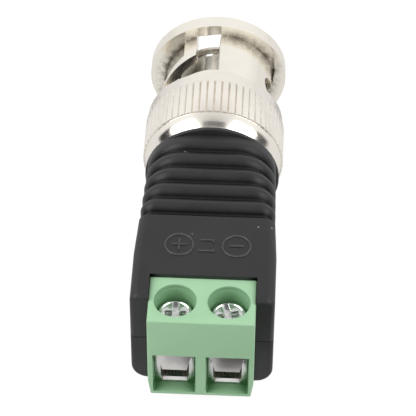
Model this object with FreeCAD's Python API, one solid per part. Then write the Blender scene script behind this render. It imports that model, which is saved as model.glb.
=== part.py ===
# A video plug with a bayonet nut at one end and a two-pole screw terminal at the other,
# joined by a moulded black body. All lengths are millimetres.
# The plug's axis is the Y axis and its mouth points along +Y. X is to the right, Z is up.
# The origin is on the axis, at the front face of the plug's outer contact.
import FreeCAD, Part
import math
import os

V = FreeCAD.Vector

# Running and seating clearances
turn_gap = 0.06            # radial, between the turning nut and what it turns on
slide_gap = 0.05           # between a clamp cage and its chamber, on each side
thread_gap = 0.02          # radial, between a screw and its tapped cage
seat_gap = 0.02            # between flat faces of pieces that move on each other
pocket_gap = 0.03          # between the terminal housing and its pocket

# Plug interface: outer contact, centre contact and gasket
contact_r = 4.0            # outer contact's sleeve
contact_wall = 0.4
tip_ring_r = 4.25          # springy ring that closes the sleeve's front
tip_ring_len = 0.45
tip_neck_r = 3.8           # waist between the ring and the sleeve
tip_neck_end = 1.0         # distance from the front face to the sleeve's shoulder
contact_slots = 4
contact_slot_w = 0.75
contact_slot_len = 3.9
contact_slot_turn = -14.0  # degrees from the top, towards -X
pin_r = 0.675
pin_ahead = 0.5            # tapered tip, which stands ahead of the outer contact
pin_tip_r = 0.3
pin_root_r = 1.0           # inside the insulators
jack_depth = 5.3           # how deep the socket's barrel goes behind the front face
insulator_well_r = 2.45
insulator_set_back = 0.7   # of the insulator's rim behind the front face
insulator_end = 17.4
gasket_r = 4.75
gasket_len = 1.0

# Plug body, turned from brass
flange_len = 1.2
flange_gap = 0.09          # radial, between the body's flange and the nut's bore
stem_r = 4.0
body_bore_r = 2.4
contact_seat = 1.6         # how deep the outer contact is pressed into the flange
ring_groove_r = 3.5
notch_floor_z = 3.3        # milled notches that hold the moulding on
anchor_len = 1.4
tail_end = 18.0            # distance from the front face
shelf_len = 2.2            # solder shelf behind the tail
shelf_r = 3.3
shelf_wall = 0.7
shelf_half_angle = 35.0

# Wave spring, thrust washer and retaining ring
spring_room = 1.6
spring_wall = 0.25
spring_inner_gap = 0.12
spring_outer_r = 4.78
spring_waves = 3
washer_len = 0.3
ring_len = 0.6
ring_r = 4.95
ring_opening = 2.6

# Bayonet nut
nut_lead = 1.5             # how far the nut's mouth stands ahead of the outer contact
nut_bore_r = 4.95
mouth_set_in = 0.02        # how far the flange stays inside the grip's radius
mouth_len = 1.65
neck_r = 5.9
neck_len = 6.95
lip_r = 7.05
lip_len = 1.3
knurl_r = 7.22
knurl_len = 4.5
band_len = 0.55
cone_len = 1.15
cone_r = 6.4
web_len = 1.6
nut_rear_bore_r = 5.7
knurl_flutes = 60
knurl_depth = 0.16
knurl_flute_w = 0.26

# Bayonet slots, as angles from the top towards -X and distances behind the front face
entry_angle = -10.0
entry_w = 2.55
entry_end = 5.45
ramp_start = 2.4           # front wall of the ramp beside the entry
ramp_knee = 4.0            # where the ramp turns shallow
ramp_end = 4.35
ramp_rear_start = 5.45
ramp_rear_knee = 6.1
ramp_rear_end = 6.4
knee_sweep = 55.0          # from the entry's centre to the knee
ramp_sweep = 92.0          # from the entry's centre to the end of the ramp
detent_sweep = 100.0
detent_y = 3.85
detent_r = 1.15
relief_r = 5.5             # shallow relief in the neck, ahead of the ramp
relief_start = 27.0        # from the entry's centre
relief_land = 0.5          # rib left between the relief and the ramp
relief_land_more = 0.55    # how much wider the rib is beside the entry

# Moulded body
collar_gap = 0.3           # between the nut's rear face and the moulding's disc
disc_r = 6.85
disc_len = 0.4
room_half_w = 4.4          # hollow for the leads inside the moulding
room_top = 1.9
room_low = 2.4
mould_half_h = 6.0
neck_half_w = 6.55
neck_corner_r = 4.7
waist_half_w = 6.66        # where the ribs end and the box begins
box_set_in = 0.35          # of the box's side walls behind the grip of the nut
corner_flats = 4
box_top_r = 0.9
box_low_r = 1.7
box_full = 31.0            # where the moulding has its full width
groove_count = 5
groove_pitch = 2.17
groove_first = 17.1
groove_depth = 0.5
groove_half_w = 0.14
rib_edge_w = 0.2           # rounded edge of a rib beside its groove
rib_crown = 0.15           # how far a rib's edge lies below its crest
box_edge_gap = 0.75        # from the last groove's middle to the box's crisp edge
mould_end = 37.2
mould_edge = 0.4
block_wall_y = 34.2        # rear wall of the open pocket in the top face

# Terminal housing
pole_pitch = 5.08
block_front = 39.75
block_depth = 7.6
block_top = 5.5
block_bottom = -5.15
block_edge = 0.15
block_taper_h = 1.9        # height of the drawn-in foot of the side walls
block_taper_w = 0.25
block_foot_edge = 0.12
well_y = 37.0
well_rim_r = 2.0
well_r = 1.93
well_rim_depth = 0.5
well_floor = 2.08
shoulder_hole_r = 1.62
chamber_roof = 1.38
chamber_back = 35.1
window_half_w = 2.05
window_top = 0.6
window_bottom = -4.84
window_corner = 0.1
funnel_depth = 1.05
front_wall = 0.42

# Clamp cages
cage_half_w = 1.9
cage_wall = 0.55
cage_front = 38.62
cage_depth = 3.3
cage_floor_t = 0.62
cage_floor_top = -3.96
cage_floor_half_w = 1.2
cage_corner_h = 0.85
cage_top_t = 1.0

# Contact bars
bar_t = 0.5
bar_half_w = 1.2
bar_top = -1.6
bar_front = 39.3
guard_half_w = 1.8
guard_top = 1.1
bar_edge = 0.12
tail_half_w = 0.5
tail_reach = 1.6           # how far the solder tail stands out of the housing

# Clamp screws
screw_r = 1.25
screw_head_r = 1.7
screw_head_h = 1.6
screw_head_edge = 0.2
slot_w = 0.68
slot_depth = 0.75
cross_half = 1.0
left_slot_turn = 0.0       # degrees, as the slots stand in the photograph
right_slot_turn = 17.0

# Leads and solder
lead_r = 0.4
solder_r = 0.7
solder_len = 1.4
solder_film = 0.06         # between a lead and the face that it is soldered to
cup_r = 1.35
cup_len = 2.6
cup_bore_r = 1.0
cup_wall = 0.7

# Distances worked out from the sizes above
nut_mouth_y = nut_lead
mouth_rear_y = nut_mouth_y - mouth_len
lip_front_y = mouth_rear_y - neck_len
mouth_r = knurl_r - mouth_set_in
knurl_front_y = lip_front_y - lip_len
knurl_rear_y = knurl_front_y - knurl_len
cone_front_y = knurl_rear_y - band_len
nut_rear_y = cone_front_y - cone_len
gasket_front_y = -jack_depth
flange_front_y = gasket_front_y - gasket_len
flange_rear_y = flange_front_y - flange_len
washer_front_y = flange_rear_y - spring_room
web_front_y = washer_front_y - washer_len - seat_gap
web_rear_y = web_front_y - web_len
ring_front_y = web_rear_y - seat_gap
ring_rear_y = ring_front_y - ring_len
contact_rear_y = flange_front_y - contact_seat
box_half_w = knurl_r - box_set_in
disc_front_y = nut_rear_y - collar_gap
disc_rear_y = disc_front_y - disc_len
block_rear_y = -block_front + block_depth
cage_floor_bottom = cage_floor_top - cage_floor_t
cage_roof = bar_top + 0.1
cage_top = cage_roof + cage_top_t
chamber_half_w = cage_half_w + slide_gap
chamber_floor = cage_floor_bottom - slide_gap
screw_head_top = well_floor + seat_gap + screw_head_h
tail_tip_y = block_rear_y + tail_reach
pole_x = {"left": -pole_pitch / 2, "right": pole_pitch / 2}


def turned(profile):
    """A solid of revolution about the Y axis, from (radius, y) corners."""
    points = [V(r, y, 0) for r, y in profile]
    face = Part.Face(Part.makePolygon(points + [points[0]]))
    return face.revolve(V(0, 0, 0), V(0, 1, 0), 360)


def tube(outer_r, inner_r, front_y, rear_y):
    """A plain tube about the Y axis."""
    return turned([(inner_r, front_y), (outer_r, front_y), (outer_r, rear_y), (inner_r, rear_y)])


def rod(r, front_y, rear_y):
    """A plain round bar about the Y axis."""
    return Part.makeCylinder(r, front_y - rear_y, V(0, rear_y, 0), V(0, 1, 0))


def box(x0, x1, y0, y1, z0, z1):
    """A box between six planes."""
    return Part.makeBox(x1 - x0, y1 - y0, z1 - z0, V(x0, y0, z0))


def prism(corners, y0, y1):
    """A solid with an (x, z) outline that runs along Y."""
    points = [V(x, y0, z) for x, z in corners]
    face = Part.Face(Part.makePolygon(points + [points[0]]))
    return face.extrude(V(0, y1 - y0, 0))


def at_angle(r, degrees, y):
    """The point at a radius and an angle from the top, positive towards +X."""
    a = math.radians(degrees)
    return V(r * math.sin(a), y, r * math.cos(a))


def half_turn(shape):
    """The same shape on the other side of the Y axis."""
    other = shape.copy()
    other.rotate(V(0, 0, 0), V(0, 1, 0), 180)
    return other


def wrapped(stations, inner_r, outer_r):
    """A cutter wrapped round the Y axis, from (angle, front y, rear y) stations."""
    wires = []
    for degrees, front_y, rear_y in stations:
        corners = [
            at_angle(inner_r, degrees, front_y),
            at_angle(outer_r, degrees, front_y),
            at_angle(outer_r, degrees, rear_y),
            at_angle(inner_r, degrees, rear_y),
        ]
        wires.append(Part.makePolygon(corners + [corners[0]]))
    return Part.makeLoft(wires, True, True)


def ramp_station(sweep):
    """The ramp's angle, front y and rear y at a sweep past the entry."""
    if sweep < knee_sweep:
        share = sweep / knee_sweep
        front = ramp_start + share * (ramp_knee - ramp_start)
        rear = ramp_rear_start + share * (ramp_rear_knee - ramp_rear_start)
    else:
        share = (sweep - knee_sweep) / (ramp_sweep - knee_sweep)
        front = ramp_knee + share * (ramp_end - ramp_knee)
        rear = ramp_rear_knee + share * (ramp_rear_end - ramp_rear_knee)
    return entry_angle - sweep, -front, -rear


def rounded_outline(y, half_w, half_h, top_r, low_r):
    """A rectangle in the plane at y whose corners follow arcs in short flats."""
    points = []
    corners = [(1, 1, 0, top_r), (-1, 1, 90, top_r), (-1, -1, 180, low_r), (1, -1, 270, low_r)]
    for side, up, start, r in corners:
        for step in range(corner_flats + 1):
            a = math.radians(start + 90 * step / corner_flats)
            x = side * (half_w - r) + r * math.cos(a)
            z = up * (half_h - r) + r * math.sin(a)
            points.append(V(x, y, z))
    return Part.makePolygon(points + [points[0]])


# Outer contact: a sleeve with closed slots and a springy ring at its tip
def make_outer_contact():
    inner_r = contact_r - contact_wall
    shape = turned([
        (inner_r, 0),
        (tip_ring_r, 0),
        (tip_ring_r, -tip_ring_len),
        (tip_neck_r, -tip_ring_len - 0.15),
        (tip_neck_r, -tip_neck_end + 0.1),
        (contact_r, -tip_neck_end),
        (contact_r, contact_rear_y),
        (inner_r, contact_rear_y),
    ])
    slot = box(
        -contact_slot_w / 2, contact_slot_w / 2,
        -tip_ring_len - contact_slot_len, -tip_ring_len,
        inner_r - 0.3, tip_ring_r,
    )
    for index in range(contact_slots):
        cutter = slot.copy()
        cutter.rotate(V(0, 0, 0), V(0, 1, 0), contact_slot_turn + index * 360 / contact_slots)
        shape = shape.cut(cutter)
    return shape


# Centre contact: pin, shoulder and rear solder cup in one turned piece
def make_centre_contact():
    shape = turned([
        (0, pin_ahead),
        (pin_tip_r, pin_ahead),
        (pin_r, 0),
        (pin_r, -jack_depth),
        (pin_root_r, -jack_depth),
        (pin_root_r, -tail_end),
        (cup_r, -tail_end),
        (cup_r, -tail_end - cup_len),
        (0, -tail_end - cup_len),
    ])
    bore = rod(cup_bore_r, -tail_end - cup_wall, -tail_end - cup_len)
    mouth = box(-cup_r, cup_r, -tail_end - cup_len, -tail_end - 1.0, 0.1, cup_r)
    return shape.cut(bore).cut(mouth)


# Insulator: one pale plastic piece that holds the centre contact on the axis
def make_insulator():
    outer_r = contact_r - contact_wall - 0.02
    return turned([
        (insulator_well_r, -insulator_set_back),
        (outer_r, -insulator_set_back),
        (outer_r, contact_rear_y),
        (body_bore_r, contact_rear_y),
        (body_bore_r, -insulator_end),
        (pin_root_r, -insulator_end),
        (pin_root_r, -jack_depth),
        (insulator_well_r, -jack_depth),
    ])


# Plug body: flange, stem with the ring's groove, two milled notches and a solder shelf
def make_plug_body():
    flange_r = nut_bore_r - flange_gap
    shape = turned([
        (contact_r, flange_front_y),
        (flange_r, flange_front_y),
        (flange_r, flange_rear_y),
        (stem_r, flange_rear_y),
        (stem_r, ring_front_y + seat_gap),
        (ring_groove_r, ring_front_y + seat_gap),
        (ring_groove_r, ring_rear_y - seat_gap),
        (stem_r, ring_rear_y - seat_gap),
        (stem_r, -tail_end),
        (body_bore_r, -tail_end),
        (body_bore_r, contact_rear_y),
        (contact_r, contact_rear_y),
    ])
    shelf = tube(shelf_r, shelf_r - shelf_wall, -tail_end, -tail_end - shelf_len)
    reach = 2 * shelf_r
    wedge = wrapped(
        [(90 + turn, -tail_end + 1, -tail_end - shelf_len - 1)
         for turn in (-shelf_half_angle, 0, shelf_half_angle)],
        0.2, reach,
    )
    shape = shape.fuse(shelf.common(wedge)).removeSplitter()
    notch = box(-stem_r, stem_r, disc_rear_y - anchor_len, disc_rear_y, notch_floor_z, stem_r + 1)
    return shape.cut(notch).cut(half_turn(notch))


# Wave spring: a thin washer whose face rises and falls three times round
def make_wave_spring():
    inner_r = stem_r + spring_inner_gap
    swing = (spring_room - spring_wall) / 2 - seat_gap
    middle_y = flange_rear_y - spring_room / 2
    steps = 12 * spring_waves
    wires = []
    for index in range(steps + 1):
        degrees = 360 * index / steps
        y = middle_y + swing * math.sin(math.radians(degrees * spring_waves))
        half = spring_wall / 2
        corners = [
            at_angle(inner_r, degrees, y + half),
            at_angle(spring_outer_r, degrees, y + half),
            at_angle(spring_outer_r, degrees, y - half),
            at_angle(inner_r, degrees, y - half),
        ]
        wires.append(Part.makePolygon(corners + [corners[0]]))
    halves = [
        Part.makeLoft(wires[:steps // 2 + 1], True, True),
        Part.makeLoft(wires[steps // 2:], True, True),
    ]
    return halves[0].fuse(halves[1]).removeSplitter()


# Retaining ring: a flat open ring in the stem's groove
def make_retaining_ring():
    shape = tube(ring_r, ring_groove_r + 0.02, ring_front_y, ring_rear_y)
    gap = box(-ring_opening / 2, ring_opening / 2, ring_rear_y - 1, ring_front_y + 1, 0, 2 * ring_r)
    gap.rotate(V(0, 0, 0), V(0, 1, 0), 180)
    return shape.cut(gap)


# Bayonet nut: mouth flange, slotted neck, lip, knurled grip, cone and inner web
def make_coupling_nut():
    turning = turned([
        (nut_bore_r, nut_mouth_y),
        (mouth_r, nut_mouth_y),
        (mouth_r, mouth_rear_y),
        (neck_r, mouth_rear_y),
        (neck_r, lip_front_y),
        (lip_r, lip_front_y),
        (lip_r, cone_front_y),
        (cone_r, nut_rear_y),
        (nut_rear_bore_r, nut_rear_y),
        (nut_rear_bore_r, web_rear_y),
        (stem_r + turn_gap, web_rear_y),
        (stem_r + turn_gap, web_front_y),
        (nut_bore_r, web_front_y),
    ])
    slots = bayonet_slot()
    return turning.fuse(knurled_ring()).cut(slots).cut(half_turn(slots))


def knurled_ring():
    """The grip: a ring whose outline has flat lands and V flutes."""
    half_flute = math.degrees(knurl_flute_w / 2 / knurl_r)
    corners = []
    for index in range(knurl_flutes):
        middle = index * 360 / knurl_flutes
        corners.append(at_angle(knurl_r, middle - half_flute, knurl_rear_y))
        corners.append(at_angle(knurl_r - knurl_depth, middle, knurl_rear_y))
        corners.append(at_angle(knurl_r, middle + half_flute, knurl_rear_y))
    outline = Part.Face(Part.makePolygon(corners + [corners[0]]))
    ring = outline.extrude(V(0, knurl_len, 0))
    return ring.cut(rod(neck_r, knurl_front_y + 1, knurl_rear_y - 1))


def bayonet_slot():
    """The entry, ramp and round detent of one stud's path and the relief beside it, as one cutter."""
    outer_r = neck_r + 0.06
    entry = box(-entry_w / 2, entry_w / 2, -entry_end, nut_mouth_y + 1, nut_bore_r - 0.6, outer_r)
    entry.rotate(V(0, 0, 0), V(0, 1, 0), entry_angle)
    stations = []
    for index in range(6):
        stations.append(ramp_station(index * knee_sweep / 5))
    for index in range(1, 4):
        stations.append(ramp_station(knee_sweep + index * (ramp_sweep - knee_sweep) / 3))
    ramp = wrapped(stations, nut_bore_r - 0.6, neck_r + 0.3)
    relief_stations = []
    before_knee = (relief_start + knee_sweep) / 2
    after_knee = (knee_sweep + ramp_sweep) / 2
    for sweep in (relief_start, before_knee, knee_sweep, after_knee, ramp_sweep):
        degrees, ramp_front = ramp_station(sweep)[:2]
        share = max(knee_sweep - sweep, 0) / (knee_sweep - relief_start)
        land = relief_land + share * relief_land_more
        relief_stations.append((degrees, mouth_rear_y, ramp_front + land))
    relief = wrapped(relief_stations, relief_r, neck_r + 0.3)
    detent_axis = at_angle(1, entry_angle - detent_sweep, 0)
    detent = Part.makeCylinder(detent_r, neck_r + 0.3, V(0, -detent_y, 0), detent_axis)
    ramp_turn = entry_angle - ramp_sweep
    ramp_half = (ramp_rear_end - ramp_end) / 2
    end_y = -(ramp_end + ramp_half)
    round_end = Part.makeCylinder(ramp_half, neck_r + 0.3, V(0, end_y, 0), at_angle(1, ramp_turn, 0))
    core = rod(nut_bore_r - 0.6, nut_mouth_y + 1, -entry_end - 3)
    path = entry.fuse(ramp).fuse(detent.cut(core)).fuse(round_end.cut(core))
    return path.fuse(relief)


# Moulded body: disc and nose behind the nut, ribbed neck, box and open pocket
def mould_section(distance):
    """Half width, upper and lower corner radii of the moulding at a distance from the front face."""
    neck_start = -disc_rear_y
    neck_end = groove_first + (groove_count - 0.5) * groove_pitch
    if distance < neck_end:
        share = (distance - neck_start) / (neck_end - neck_start)
        half_w = neck_half_w + share * (waist_half_w - neck_half_w)
    else:
        share = min(1, (distance - neck_end) / (box_full - neck_end))
        half_w = waist_half_w + share * (box_half_w - waist_half_w)
        share = 1
    top_r = neck_corner_r + share * (box_top_r - neck_corner_r)
    low_r = neck_corner_r + share * (box_low_r - neck_corner_r)
    return half_w, top_r, low_r


def mould_stations():
    """Distances and insets of the outlines that the moulding's skin runs through."""
    stations = [(-disc_rear_y - disc_len / 2, 0.0)]
    edge = groove_half_w + rib_edge_w
    for index in range(groove_count):
        middle = groove_first + index * groove_pitch
        stations.append((middle - edge, rib_crown))
        stations.append((middle - groove_half_w, groove_depth))
        stations.append((middle + groove_half_w, groove_depth))
        if index < groove_count - 1:
            stations.append((middle + edge, rib_crown))
            stations.append((middle + groove_pitch / 2, 0.0))
    stations.append((middle + box_edge_gap, 0.0))
    stations.append((box_full, 0.0))
    stations.append((mould_end - mould_edge, 0.0))
    stations.append((mould_end, mould_edge))
    return stations


def make_moulded_body(plug_body):
    wires = []
    for distance, inset in mould_stations():
        half_w, top_r, low_r = mould_section(distance)
        half_h = mould_half_h - inset
        wires.append(rounded_outline(-distance, half_w - inset, half_h, top_r - inset, low_r - inset))
    shape = Part.makeLoft(wires, True, True)
    shape = shape.fuse(rod(disc_r, disc_front_y, disc_rear_y))
    half_w = pole_pitch + pocket_gap
    pocket = box(
        -half_w, half_w, -mould_end - 1, block_rear_y + pocket_gap,
        block_bottom - pocket_gap, block_top + pocket_gap,
    )
    open_top = box(-half_w, half_w, -mould_end - 1, -block_wall_y, 0, mould_half_h + 1)
    shape = shape.cut(pocket).cut(open_top)
    room = box(-room_half_w, room_half_w, block_rear_y - 1, -tail_end, -room_low, room_top)
    bore = rod(stem_r - 1, disc_front_y + 1, -tail_end - 1)
    return shape.cut(room).cut(bore).cut(plug_body)


# Terminal housing: wells, shoulders, clamp chambers, wire windows and tail slots
def make_terminal_housing(bars):
    half_w = pole_pitch
    foot = block_bottom + block_taper_h
    outline = [
        (-half_w + block_edge, block_top),
        (half_w - block_edge, block_top),
        (half_w, block_top - block_edge),
        (half_w, foot),
        (half_w - block_taper_w, block_bottom + block_foot_edge),
        (half_w - block_taper_w - block_foot_edge, block_bottom),
        (-half_w + block_taper_w + block_foot_edge, block_bottom),
        (-half_w + block_taper_w, block_bottom + block_foot_edge),
        (-half_w, foot),
        (-half_w, block_top - block_edge),
    ]
    shape = prism(outline, -block_front, block_rear_y)
    for x in pole_x.values():
        shape = shape.cut(pole_room(x))
    for bar in bars:
        shape = shape.cut(bar)
    return shape


def pole_room(x):
    """All that is hollow in one pole of the housing, as one cutter."""
    axis = V(0, 0, 1)
    rim_z = block_top - well_rim_depth
    rim = Part.makeCylinder(well_rim_r, well_rim_depth + 1, V(x, -well_y, rim_z), axis)
    well = Part.makeCylinder(well_r, block_top - well_floor, V(x, -well_y, well_floor), axis)
    hole_low = chamber_roof - 0.5
    hole = Part.makeCylinder(shoulder_hole_r, well_floor + 0.5 - hole_low, V(x, -well_y, hole_low), axis)
    chamber_front = -cage_front - slide_gap
    low = chamber_floor
    corner_x = cage_floor_half_w + slide_gap
    outline = [
        (x - chamber_half_w, chamber_roof),
        (x + chamber_half_w, chamber_roof),
        (x + chamber_half_w, low + cage_corner_h),
        (x + corner_x, low),
        (x - corner_x, low),
        (x - chamber_half_w, low + cage_corner_h),
    ]
    chamber = prism(outline, -bar_front - 0.02, -chamber_back)
    lower_front = box(
        x - 3, x + 3, -bar_front - 1, chamber_front, block_bottom, bar_top - bar_t - 0.3,
    )
    chamber = chamber.cut(lower_front)
    front = -block_front
    window = box(
        x - window_half_w, x + window_half_w, front - 1, front + front_wall + 0.01,
        window_bottom + 0.3, window_top,
    )
    return rim.fuse(well).fuse(hole).fuse(chamber).fuse(window).fuse(funnel(x))


def funnel(x):
    """The wire window's lower part, which narrows towards the clamp."""
    front = -block_front
    inner_y = front + funnel_depth + 0.1
    top = window_top
    inner_top = bar_top - bar_t - 0.3
    low = chamber_floor
    corner_x = cage_floor_half_w + slide_gap

    def outline(y, half_w, foot_x, foot_z, side_z, top_z):
        corners = [
            V(x - half_w, y, top_z), V(x + half_w, y, top_z), V(x + half_w, y, side_z),
            V(x + foot_x, y, foot_z), V(x - foot_x, y, foot_z), V(x - half_w, y, side_z),
        ]
        return Part.makePolygon(corners + [corners[0]])

    foot_x = window_half_w - window_corner
    rise = cage_corner_h / (chamber_half_w - corner_x)
    outer = outline(front, window_half_w, foot_x, window_bottom, window_bottom + rise * window_corner, top)
    inner = outline(inner_y, chamber_half_w, corner_x, low, low + cage_corner_h, inner_top + 0.4)
    return Part.makeLoft([outer, inner], True, True)


# Clamp cages: a folded loop with a tapped top and drawn-in lower corners
def make_clamp_cage(x):
    low = cage_floor_bottom
    side_low = low + cage_corner_h
    inner_w = cage_half_w - cage_wall
    outer = [
        (x - cage_half_w + 0.2, cage_top),
        (x + cage_half_w - 0.2, cage_top),
        (x + cage_half_w, cage_top - 0.2),
        (x + cage_half_w, side_low),
        (x + cage_floor_half_w, low),
        (x - cage_floor_half_w, low),
        (x - cage_half_w, side_low),
        (x - cage_half_w, cage_top - 0.2),
    ]
    floor_x = cage_floor_half_w + 0.05
    inner = [
        (x - inner_w, cage_roof),
        (x + inner_w, cage_roof),
        (x + inner_w, side_low + 0.15),
        (x + floor_x, cage_floor_top),
        (x - floor_x, cage_floor_top),
        (x - inner_w, side_low + 0.15),
    ]
    front = -cage_front
    shape = prism(outer, front, front + cage_depth).cut(prism(inner, front - 1, front + cage_depth + 1))
    tapped_foot = V(x, -well_y, cage_roof - 0.5)
    tapped = Part.makeCylinder(screw_r + thread_gap, cage_top_t + 1, tapped_foot, V(0, 0, 1))
    return shape.cut(tapped)


# Contact bars: a strip under the screw, a guard bent up in front and a solder tail behind
def make_contact_bar(x):
    front = -bar_front
    bottom = bar_top - bar_t
    side = [
        V(0, -chamber_back, bottom), V(0, front + bar_edge, bottom), V(0, front, bottom + bar_edge),
        V(0, front, guard_top), V(0, front + bar_t, guard_top), V(0, front + bar_t, bar_top),
        V(0, -chamber_back, bar_top),
    ]
    face = Part.Face(Part.makePolygon(side + [side[0]]))
    face.translate(V(x - guard_half_w, 0, 0))
    strip = face.extrude(V(2 * guard_half_w, 0, 0))
    outline = [
        (x - bar_half_w, bottom - 1),
        (x + bar_half_w, bottom - 1),
        (x + bar_half_w, bottom + 0.2),
        (x + guard_half_w, guard_top),
        (x - guard_half_w, guard_top),
        (x - bar_half_w, bottom + 0.2),
    ]
    guard = strip.common(prism(outline, front - 1, front + bar_t))
    flat = strip.common(box(x - bar_half_w, x + bar_half_w, front + bar_t, 0, bottom - 1, guard_top))
    tail = box(x - tail_half_w, x + tail_half_w, -chamber_back, tail_tip_y, bottom, bar_top)
    return guard.fuse(flat).fuse(tail).removeSplitter()


# Clamp screws: cheese head with a slot and a cross, and a plain shank for the thread
def make_clamp_screw(x, turn):
    top = screw_head_top
    foot = well_floor + seat_gap
    profile = [
        V(0, 0, top), V(screw_head_r - screw_head_edge, 0, top), V(screw_head_r, 0, top - screw_head_edge),
        V(screw_head_r, 0, foot), V(screw_r, 0, foot), V(screw_r, 0, bar_top + seat_gap),
        V(0, 0, bar_top + seat_gap),
    ]
    face = Part.Face(Part.makePolygon(profile + [profile[0]]))
    shape = face.revolve(V(0, 0, 0), V(0, 0, 1), 360)
    slot = box(-slot_w / 2, slot_w / 2, -screw_head_r - 1, screw_head_r + 1, top - slot_depth, top + 1)
    cross = box(-cross_half, cross_half, -slot_w / 2, slot_w / 2, top - slot_depth, top + 1)
    shape = shape.cut(slot).cut(cross)
    shape.rotate(V(0, 0, 0), V(0, 0, 1), turn)
    shape.translate(V(x, -well_y, 0))
    return shape


# Leads: short stiff wires from the plug's rear to the solder tails
def make_lead(start, side):
    """A straight round wire from a point to the end of its pole's solder tail."""
    end = V(pole_x[side], tail_tip_y - 1.3, bar_top + solder_film + lead_r)
    return Part.makeCylinder(lead_r, start.distanceToPoint(end), start, end - start)


def solder_joint(middle, around):
    """A short eight-sided joint along a lead, cut back from the pieces that it wets."""
    corners = []
    for index in range(8):
        a = math.radians(22.5 + 45 * index)
        corners.append((middle.x + solder_r * math.cos(a), middle.z + solder_r * math.sin(a)))
    joint = prism(corners, middle.y - solder_len / 2, middle.y + solder_len / 2)
    for piece in around:
        joint = joint.cut(piece)
    return max(joint.Solids, key=lambda solid: solid.Volume)


parts = {}
parts["outer_contact"] = make_outer_contact()
parts["centre_contact"] = make_centre_contact()
parts["insulator"] = make_insulator()
parts["gasket"] = tube(gasket_r, contact_r, gasket_front_y, flange_front_y)
parts["plug_body"] = make_plug_body()
parts["wave_spring"] = make_wave_spring()
parts["thrust_washer"] = tube(
    nut_bore_r - flange_gap, stem_r + turn_gap, washer_front_y, washer_front_y - washer_len
)
parts["retaining_ring"] = make_retaining_ring()
parts["coupling_nut"] = make_coupling_nut()

bars = {side: make_contact_bar(x) for side, x in pole_x.items()}
for side, bar in bars.items():
    parts["contact_bar_" + side] = bar
parts["clamp_cage_left"] = make_clamp_cage(pole_x["left"])
parts["clamp_cage_right"] = make_clamp_cage(pole_x["right"])
parts["clamp_screw_left"] = make_clamp_screw(pole_x["left"], left_slot_turn)
parts["clamp_screw_right"] = make_clamp_screw(pole_x["right"], right_slot_turn)
parts["terminal_housing"] = make_terminal_housing(bars.values())

signal_start = V(0, -tail_end - 1.0, 0)
ground_start = V(shelf_r + solder_film + lead_r + 0.2, -tail_end - 0.4, 0)
parts["signal_lead"] = make_lead(signal_start, "left")
parts["ground_lead"] = make_lead(ground_start, "right")
shelf_middle = V(shelf_r + 0.25, -tail_end - shelf_len / 2 - 0.2, 0)
tail_middle = {side: V(x, tail_tip_y - 0.8, bar_top + 0.25) for side, x in pole_x.items()}
cup_fill = rod(cup_bore_r, -tail_end - cup_wall, -tail_end - cup_len)
parts["cup_solder"] = cup_fill.cut(parts["signal_lead"])
parts["shelf_solder"] = solder_joint(shelf_middle, [parts["ground_lead"], parts["plug_body"]])
parts["tail_solder_left"] = solder_joint(
    tail_middle["left"], [parts["signal_lead"], parts["contact_bar_left"], parts["terminal_housing"]]
)
parts["tail_solder_right"] = solder_joint(
    tail_middle["right"], [parts["ground_lead"], parts["contact_bar_right"], parts["terminal_housing"]]
)

parts["moulded_body"] = make_moulded_body(parts["plug_body"])

os.makedirs("parts", exist_ok=True)
for name, shape in parts.items():
    shape.exportStep(os.path.join("parts", name + ".step"))
    print(name, "solids", len(shape.Solids), "valid", shape.isValid(), "volume", round(shape.Volume, 3))
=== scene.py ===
import math

import bpy
from mathutils import Matrix, Vector


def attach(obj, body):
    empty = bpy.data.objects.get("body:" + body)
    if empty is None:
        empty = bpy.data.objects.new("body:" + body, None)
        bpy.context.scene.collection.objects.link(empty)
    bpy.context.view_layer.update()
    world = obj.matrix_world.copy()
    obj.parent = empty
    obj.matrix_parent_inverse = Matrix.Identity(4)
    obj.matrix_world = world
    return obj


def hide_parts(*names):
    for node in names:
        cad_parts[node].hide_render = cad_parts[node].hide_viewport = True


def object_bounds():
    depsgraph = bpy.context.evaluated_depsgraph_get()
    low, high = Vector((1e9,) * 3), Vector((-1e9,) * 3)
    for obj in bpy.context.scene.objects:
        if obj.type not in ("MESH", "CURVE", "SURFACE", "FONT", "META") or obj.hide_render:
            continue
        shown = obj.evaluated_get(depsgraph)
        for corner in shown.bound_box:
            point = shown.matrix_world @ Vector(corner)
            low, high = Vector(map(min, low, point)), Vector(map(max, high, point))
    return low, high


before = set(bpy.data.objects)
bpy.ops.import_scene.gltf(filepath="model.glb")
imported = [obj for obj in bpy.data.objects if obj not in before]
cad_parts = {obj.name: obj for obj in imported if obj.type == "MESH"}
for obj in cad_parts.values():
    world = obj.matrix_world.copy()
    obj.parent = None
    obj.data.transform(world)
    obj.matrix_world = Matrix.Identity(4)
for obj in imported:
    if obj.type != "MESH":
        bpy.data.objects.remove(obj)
cad_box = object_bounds()

# Camera. It stands behind the terminal end and looks down on the adapter from
# above, at the angle and the distance of the photograph.
mm = 0.001
camera_azimuth = math.radians(2.32)
camera_elevation = math.radians(46.38)
camera_roll = math.radians(0.376)
camera_distance = 226.0 * mm
camera_aim = Vector((-0.208 * mm, -19.64 * mm, 0))
camera_lens = 193.3

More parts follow.
